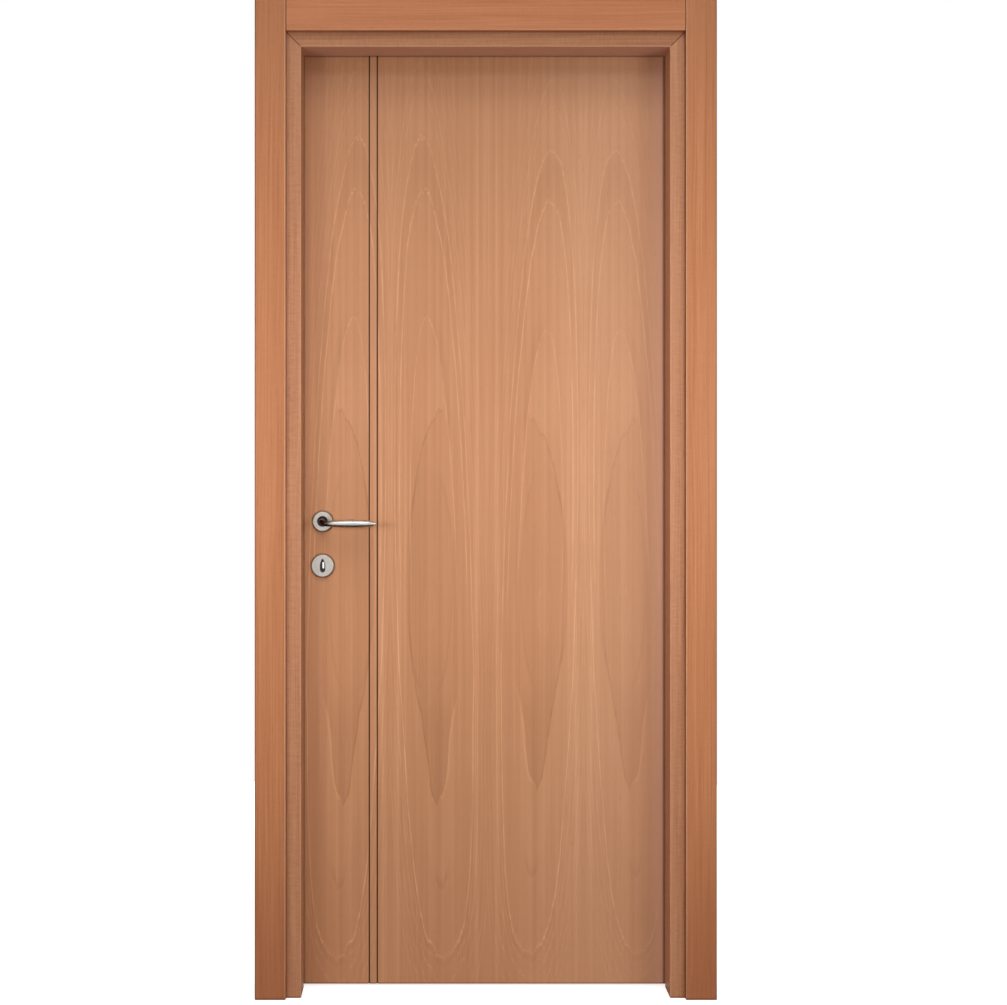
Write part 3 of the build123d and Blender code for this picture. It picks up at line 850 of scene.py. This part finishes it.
def make_core():
    """Cardboard honeycomb: pulp in greyish browns, darker along the cell walls."""
    material, finish, shader, position = new_material("Cardboard_core")
    cells = finish.step(
        "ShaderNodeTexVoronoi",
        {"Vector": finish.stretch(position, 45, 45, 45), "Scale": 1.0},
        feature="DISTANCE_TO_EDGE",
    )
    wall = finish.fall(cells.outputs["Distance"], 0.02, 0.10)
    pulp = finish.noise(finish.stretch(position, 900, 900, 900), 3.0, 0.6)
    colour = finish.tones(pulp, [(0.3, srgb(150, 116, 80)), (0.7, srgb(184, 150, 110))])
    finish.feed(shader["Base Color"], finish.tint(colour, wall, 0.5, srgb(118, 88, 58)))
    finish.feed(shader["Roughness"], finish.plus(0.78, finish.times(pulp, 0.12)))
    finish.feed(shader["Normal"], finish.relief(finish.plus(wall, pulp), 0.0006, 0.5))
    return material


def make_seal_rubber():
    """Soft brown seal, slightly dusty."""
    material, finish, shader, position = new_material("Seal_rubber")
    dust = finish.noise(finish.stretch(position, 160, 160, 24), 3.0, 0.6)
    bloom = finish.noise(finish.stretch(position, 2600, 2600, 2600), 1.0, 0.5)
    tone = finish.plus(finish.times(dust, 0.7), finish.times(bloom, 0.3))
    stops = [(0.30, srgb(34, 21, 14)), (0.55, srgb(48, 31, 21)), (0.8, srgb(74, 52, 38))]
    finish.feed(shader["Base Color"], finish.tones(tone, stops))
    finish.feed(shader["Roughness"], finish.plus(0.62, finish.times(dust, 0.22)))
    finish.feed(shader["Normal"], finish.relief(bloom, 0.0001, 0.4))
    return material


def well_shade(finish, position):
    """Painted shade in the rosette's well, round the lever's boss."""
    x, _, z = finish.split(position)
    away = from_axis(finish, x, z, handle_height)
    return finish.fall(away, rosette_well - 0.0003, rosette_well + 0.0004)


def elbow_shade(finish, position):
    """Painted dark reflection on the neck and the elbow of the lever."""
    x, _, _ = finish.split(position)
    return finish.fall(finish.less(x, furniture_x), 0.011, 0.030)


def keyhole_shade(finish, position):
    """Painted shade inside the keyhole."""
    x, _, z = finish.split(position)
    aside = finish.size(finish.less(x, furniture_x))
    along = finish.size(finish.less(z, key_height))
    rim = 0.0007
    return finish.times(
        finish.fall(aside, keyhole_half[0], keyhole_half[0] + rim),
        finish.fall(along, keyhole_half[1], keyhole_half[1] + rim),
    )


def make_metal(name, dark, light, roughness, shade=None):
    """Satin metal; the shared scuffing varies its tint, gloss and surface."""
    material, finish, shader, position = new_material(name)
    scuff = finish.use(satin_scuff, position=position, base_roughness=roughness)
    colour = finish.tones(scuff["Tint"], [(0.30, dark), (0.70, light)])
    if shade:
        # Painted shade or dark reflection where the shade mask is 1
        colour = finish.tint(colour, shade(finish, position), 0.97, painted_dark_brown)
    finish.feed(shader["Base Color"], colour)
    finish.feed(shader["Roughness"], scuff["Roughness"])
    finish.feed(shader["Normal"], finish.relief(scuff["Height"], 0.00002, 0.15))
    shader["Metallic"].default_value = 1.0
    return material


finishes = {
    "leaf_face": make_leaf_veneer(),
    "casing_upright": make_casing_veneer(True),
    "casing_head": make_casing_veneer(False),
    "lining_upright": make_lining_veneer(True),
    "lining_head": make_lining_veneer(False),
    "edge_upright": make_leaf_edge(True),
    "edge_across": make_leaf_edge(False),
    "core": make_core(),
    "seal": make_seal_rubber(),
    "lever_nickel": make_metal("Lever_nickel", *nickel, 0.28, elbow_shade),
    "rosette_nickel": make_metal("Rosette_nickel", *nickel, 0.30, well_shade),
    "escutcheon_nickel": make_metal("Escutcheon_nickel", *nickel, 0.30, keyhole_shade),
    "lock_steel": make_metal("Lock_steel", srgb(64, 62, 60), srgb(96, 94, 91), 0.46),
    "hinge_nickel": make_metal("Hinge_nickel", srgb(176, 172, 166), srgb(204, 200, 194), 0.26),
    "plated_steel": make_metal("Plated_steel", srgb(160, 160, 158), srgb(192, 192, 190), 0.34),
}

# Finish of each solid, by the start and end of its name
finish_of = [
    ("front_skin", "", "leaf_face"),
    ("back_skin", "", "leaf_face"),
    ("casing_", "_head", "casing_head"),
    ("casing_", "", "casing_upright"),
    ("head_jamb", "", "lining_head"),
    ("hinge_jamb", "", "lining_upright"),
    ("lock_jamb", "", "lining_upright"),
    ("hinge_stile", "", "edge_upright"),
    ("lock_stile", "", "edge_upright"),
    ("top_rail", "", "edge_across"),
    ("bottom_rail", "", "edge_across"),
    ("core_panel", "", "core"),
    ("seal_", "", "seal"),
    ("handle_rosette", "", "rosette_nickel"),
    ("key_escutcheon", "", "escutcheon_nickel"),
    ("lever_", "", "lever_nickel"),
    ("lock_case", "", "lock_steel"),
    ("hinge_", "_half", "hinge_nickel"),
    ("", "", "plated_steel"),
]
for node_name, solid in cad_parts.items():
    chosen = next(
        f for start, end, f in finish_of if node_name.startswith(start) and node_name.endswith(end)
    )
    solid.data.materials.clear()
    solid.data.materials.append(finishes[chosen])


def put_in_scene(name, data):
    """An object with this data, in the scene."""
    made = bpy.data.objects.new(name, data)
    bpy.context.scene.collection.objects.link(made)
    return made


# Screws: turned heads with a driven recess
def cross_recess(arm, half_width):
    """Outline of a cross slot."""
    corners = []
    for quarter in range(4):
        cos, sin = math.cos(quarter * math.pi / 2), math.sin(quarter * math.pi / 2)
        for x, y in ((arm, -half_width), (arm, half_width), (half_width, half_width)):
            corners.append((x * cos - y * sin, x * sin + y * cos))
    return corners


def hex_recess(across_flats):
    """Outline of a hexagon socket."""
    reach = across_flats / math.sqrt(3)
    return [(reach * math.cos(k * math.pi / 3), reach * math.sin(k * math.pi / 3)) for k in range(6)]


def screw_head(name, place, facing, radius, recess, body):
    """A screw head set in a plate: skirt, eased rim, slightly domed face and its recess."""
    mesh = bmesh.new()
    loops = []
    for share, height in head_profile:
        loop = []
        for k in range(head_segments):
            angle = 2 * math.pi * k / head_segments
            x, y = share * radius * math.cos(angle), share * radius * math.sin(angle)
            loop.append(mesh.verts.new((x, y, height)))
        loops.append(loop)
    for lower, upper in zip(loops, loops[1:]):
        for k in range(head_segments):
            after = (k + 1) % head_segments
            mesh.faces.new((lower[k], lower[after], upper[after], upper[k]))
    mesh.faces.new(list(reversed(loops[0])))

    face_height = head_profile[-1][1]
    floor_height = face_height - recess_depth
    mouth = [mesh.verts.new((x, y, face_height)) for x, y in recess]
    floor = [mesh.verts.new((recess_taper * x, recess_taper * y, floor_height)) for x, y in recess]
    count = len(recess)
    for k in range(count):
        after = (k + 1) % count
        mesh.faces.new((mouth[after], mouth[k], floor[k], floor[after]))
    mesh.faces.new(floor)
    edges = []
    for loop in (loops[-1], mouth):
        for start, end in zip(loop, loop[1:] + loop[:1]):
            edges.append(mesh.edges.get((start, end)))
    bmesh.ops.triangle_fill(mesh, use_beauty=True, edges=edges)
    bmesh.ops.recalc_face_normals(mesh, faces=mesh.faces)
    for face in mesh.faces:
        face.smooth = True
    for edge in mesh.edges:
        edge.smooth = edge.calc_face_angle(0.0) < crisp_edge
    mesh.transform(Vector(facing).to_track_quat("Z", "Y").to_matrix().to_4x4())
    data = bpy.data.meshes.new(name)
    mesh.to_mesh(data)
    mesh.free()
    data.materials.append(finishes["plated_steel"])
    piece = put_in_scene(name, data)
    piece.location = place
    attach(piece, body)


plate_y = (plate_low.y + plate_high.y) / 2
strike_y = (strike_low.y + strike_high.y) / 2
cross = cross_recess(cross_arm, cross_half_width)
socket = hex_recess(socket_across_flats)
plate_heights = (plate_low.z + plate_screw_inset, plate_high.z - plate_screw_inset)
strike_heights = (strike_low.z + strike_screw_inset, strike_high.z - strike_screw_inset)
for label, height in zip(("lower", "upper"), plate_heights):
    place = (plate_low.x, plate_y, height)
    screw_head(f"faceplate_screw_{label}", place, (-1, 0, 0), plate_screw_radius, cross, "leaf")
for label, height in zip(("lower", "upper"), strike_heights):
    place = (strike_high.x, strike_y, height)
    screw_head(f"strike_screw_{label}", place, (1, 0, 0), strike_screw_radius, cross, "lining")
for label, y in (("front", leaf_front - grub_off_leaf), ("back", leaf_back + grub_off_leaf)):
    place = (spindle_x, y, spindle_z - lever_neck_radius + grub_sunk)
    screw_head(f"lever_grub_screw_{label}", place, (0, 0, -1), grub_screw_radius, socket, "lever_set")


def make_floor():
    """A pale disc that turns white towards its rim, and keeps the door's shadow."""
    mesh = bmesh.new()
    bmesh.ops.create_circle(mesh, cap_ends=True, segments=96, radius=floor_radius)
    data = bpy.data.meshes.new("Floor")
    mesh.to_mesh(data)
    mesh.free()
    floor = put_in_scene("Floor", data)
    floor.location = (passage_middle, 0.0, -floor_drop)
    material, finish, shader, position = new_material("Pale_floor")
    x, y, _ = finish.split(position)
    to_rim = finish.rise(finish.length(x, y), *floor_whitens)
    glow = finish.plus(floor_glow, finish.times(to_rim, floor_rim_glow))
    finish.feed(shader["Emission Strength"], finish.times(finish.seen(), glow))
    shader["Base Color"].default_value = srgb(222, 220, 216)
    shader["Emission Color"].default_value = white
    shader["Roughness"].default_value = 0.9
    shader["Specular IOR Level"].default_value = 0.1
    data.materials.append(material)


def soft_box(name, offset, aim_height, size, spread, power, in_gloss):
    """A rectangular lamp that points at the middle of the door."""
    lamp = bpy.data.lights.new(name, "AREA")
    lamp.shape = "RECTANGLE"
    lamp.size, lamp.size_y = size
    lamp.spread = spread
    lamp.energy = power
    box = put_in_scene(name, lamp)
    box.location = (passage_middle + offset[0], offset[1], offset[2])
    towards = Vector((passage_middle, 0.0, aim_height)) - box.location
    box.rotation_mode = "QUATERNION"
    box.rotation_quaternion = towards.to_track_quat("-Z", "Y")
    box.visible_glossy = in_gloss


def make_flag(name, corners):
    """A dark card that only reflections in metal and lacquer see."""
    mesh = bmesh.new()
    mesh.faces.new([mesh.verts.new(corner) for corner in corners])
    data = bpy.data.meshes.new(name)
    mesh.to_mesh(data)
    mesh.free()
    flag = put_in_scene(name, data)
    flag.visible_camera = False
    flag.visible_diffuse = False
    flag.visible_transmission = False
    flag.visible_shadow = False
    material, finish, shader, position = new_material(name)
    felt = finish.noise(finish.stretch(position, 90, 90, 90))
    stops = [(0.3, srgb(44, 30, 22)), (0.7, srgb(58, 42, 32))]
    finish.feed(shader["Base Color"], finish.tones(felt, stops))
    shader["Roughness"].default_value = 1.0
    shader["Specular IOR Level"].default_value = 0.0
    data.materials.append(material)


def make_surround():
    """A dim surround that looks white."""
    world = bpy.data.worlds.new("Studio")
    world.use_nodes = True
    world.node_tree.nodes.clear()
    surround = Finish(world.node_tree)
    dim = surround.step("ShaderNodeBackground", {"Color": white, "Strength": surround_strength})
    bright = surround.step("ShaderNodeBackground", {"Color": white, "Strength": 1.0})
    either = surround.step(
        "ShaderNodeMixShader", {0: surround.seen(), 1: dim.outputs[0], 2: bright.outputs[0]}
    )
    surround.step("ShaderNodeOutputWorld", {"Surface": either.outputs[0]})
    bpy.context.scene.world = world


def make_camera():
    """Level, square to the door, a little left of its middle."""
    lens = bpy.data.cameras.new("Camera")
    lens.lens = camera_lens
    lens.sensor_width = 36.0
    lens.shift_x, lens.shift_y = camera_shift
    camera = put_in_scene("Camera", lens)
    camera.location = camera_place
    camera.rotation_euler = (math.radians(90), 0.0, 0.0)
    bpy.context.scene.camera = camera


# Studio: floor, soft boxes, dark flags, a white background and the camera
make_floor()
for box_values in soft_boxes:
    soft_box(*box_values)
left, right = passage_middle - flag_side, passage_middle + flag_side
near, far, low = -1.5, 0.015, 0.002
make_flag("Floor_flag", [(left, near, low), (right, near, low), (right, far, low), (left, far, low)])
near, far, low, high = -2.6, -0.1, 0.3, 2.1
make_flag("Left_flag", [(left, near, low), (left, far, low), (left, far, high), (left, near, high)])
make_surround()
make_camera()
bpy.context.scene.view_settings.view_transform = "Standard"
